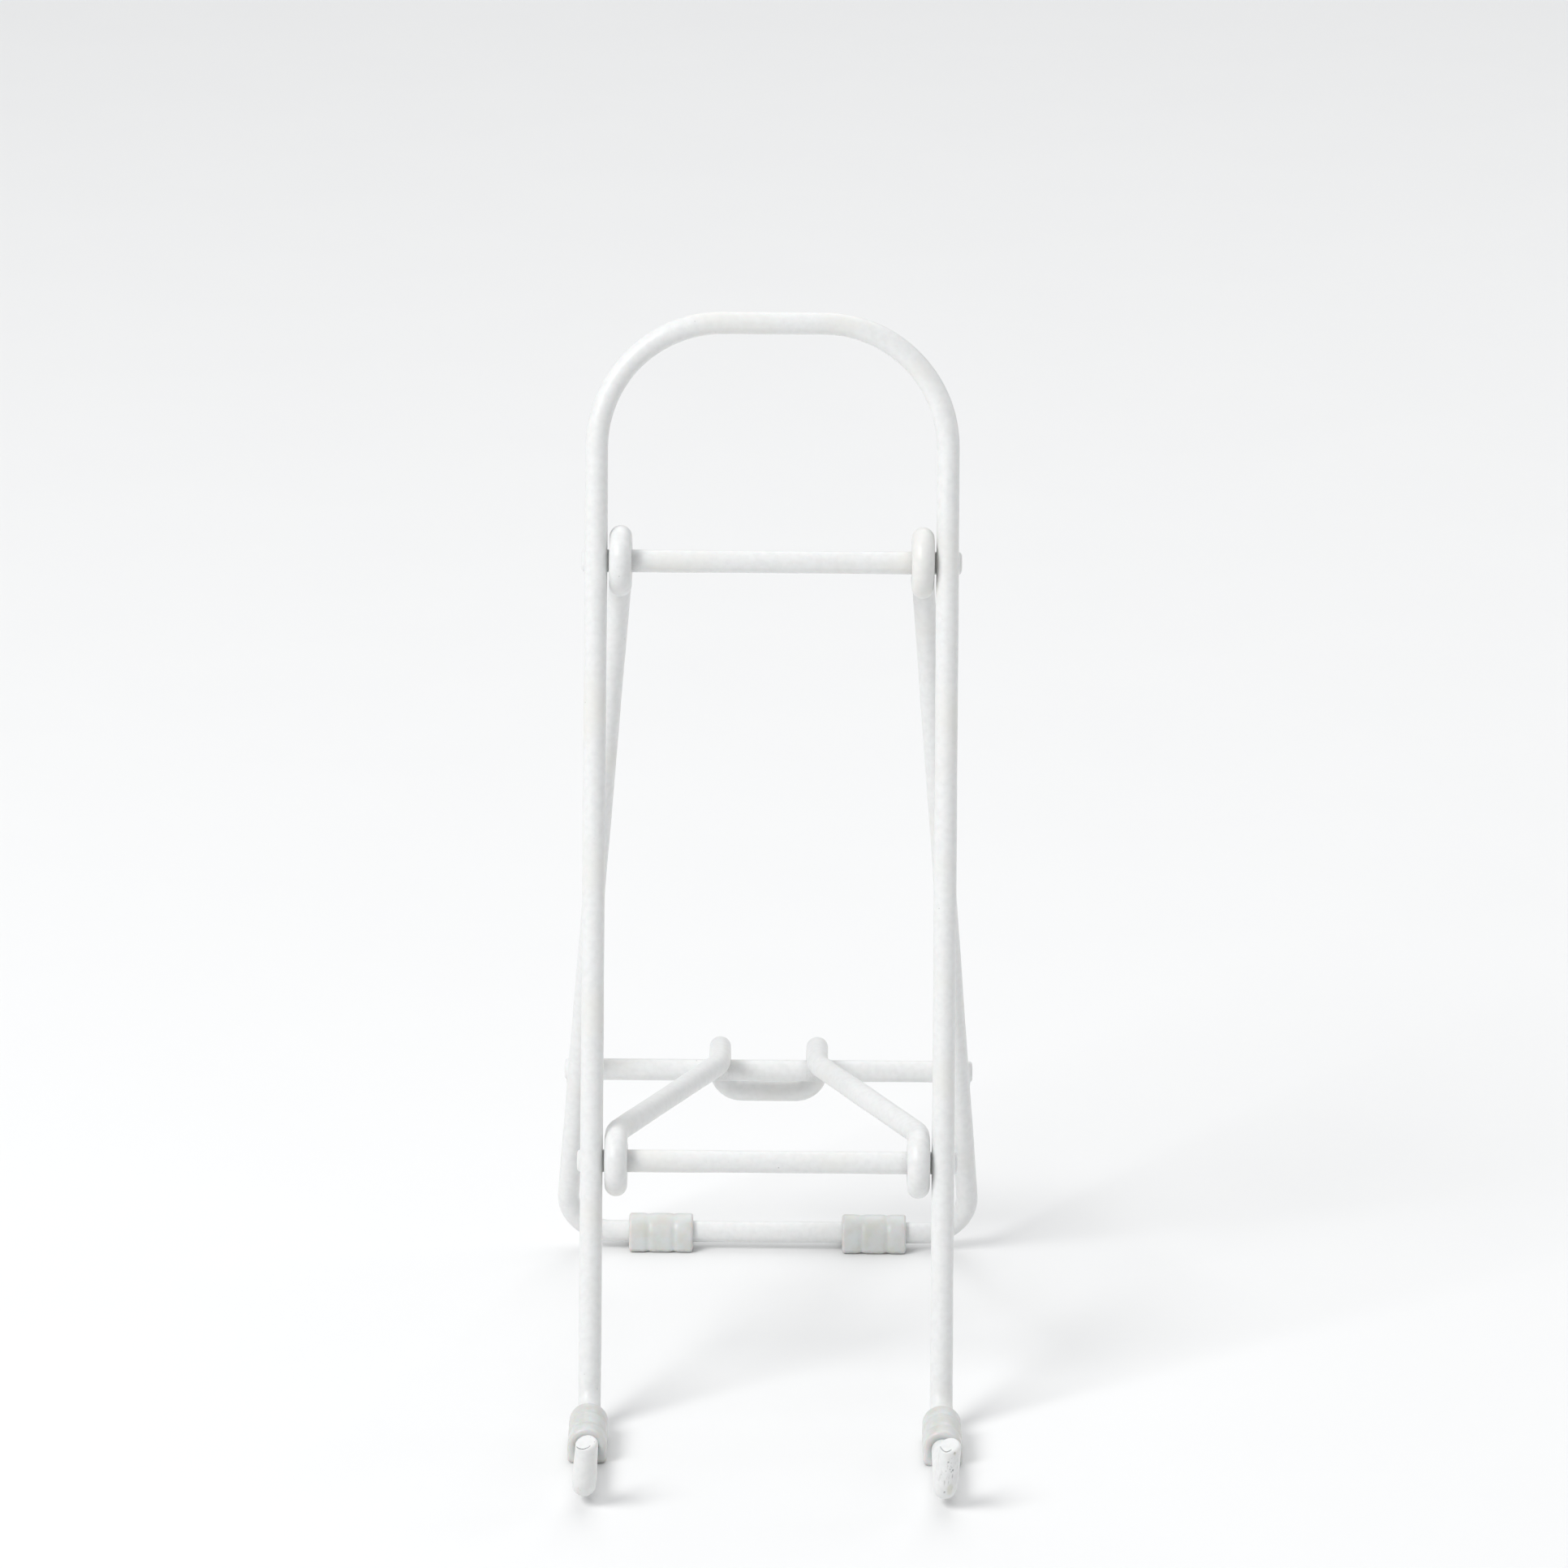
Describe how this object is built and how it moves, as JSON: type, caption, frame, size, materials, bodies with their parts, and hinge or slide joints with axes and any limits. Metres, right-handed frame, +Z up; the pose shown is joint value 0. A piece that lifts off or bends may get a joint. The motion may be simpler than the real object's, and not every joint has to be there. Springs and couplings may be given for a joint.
{
  "type": "plate display stand",
  "caption": "Folding wire easel for a display plate: a white-coated wire frame with two short upturned fingers for the rim, a hinged rear prop and a hooked stay.",
  "frame": {"origin": "on the table, at the middle of the footprint with the prop open", "axes": "+X to the right as seen from the front, -Y towards the viewer, +Z up"},
  "size_m": [0.0788, 0.1282, 0.1878],
  "materials": {
    "white_coating": "satin dipped vinyl",
    "steel_wire": "drawn wire",
    "foot_vinyl": "milky, slightly glossy"
  },
  "bodies": {
    "front_frame": {"front_wire": "steel_wire", "front_coating": "white_coating", "hinge_rod": "steel_wire", "hinge_rod_coating": "white_coating", "stay_rod": "steel_wire", "stay_rod_coating": "white_coating", "front_foot_left": "foot_vinyl", "front_foot_right": "foot_vinyl"},
    "prop": {"prop_wire": "steel_wire", "prop_coating": "white_coating", "catch_rod": "steel_wire", "catch_rod_coating": "white_coating", "rear_foot_left": "foot_vinyl", "rear_foot_right": "foot_vinyl"},
    "stay": {"stay_wire": "steel_wire", "stay_coating": "white_coating"}
  },
  "joints": [
    {"name": "prop_fold", "type": "hinge", "parent": "front_frame", "child": "prop", "pos_m": [0, 0.02353, 0.14506], "axis": [1, 0, 0], "range_deg": [-31, 0]},
    {"name": "stay_lift", "type": "hinge", "parent": "front_frame", "child": "stay", "pos_m": [0, -0.00923, 0.04424], "axis": [1, 0, 0], "range_deg": [0, 77]}
  ]
}
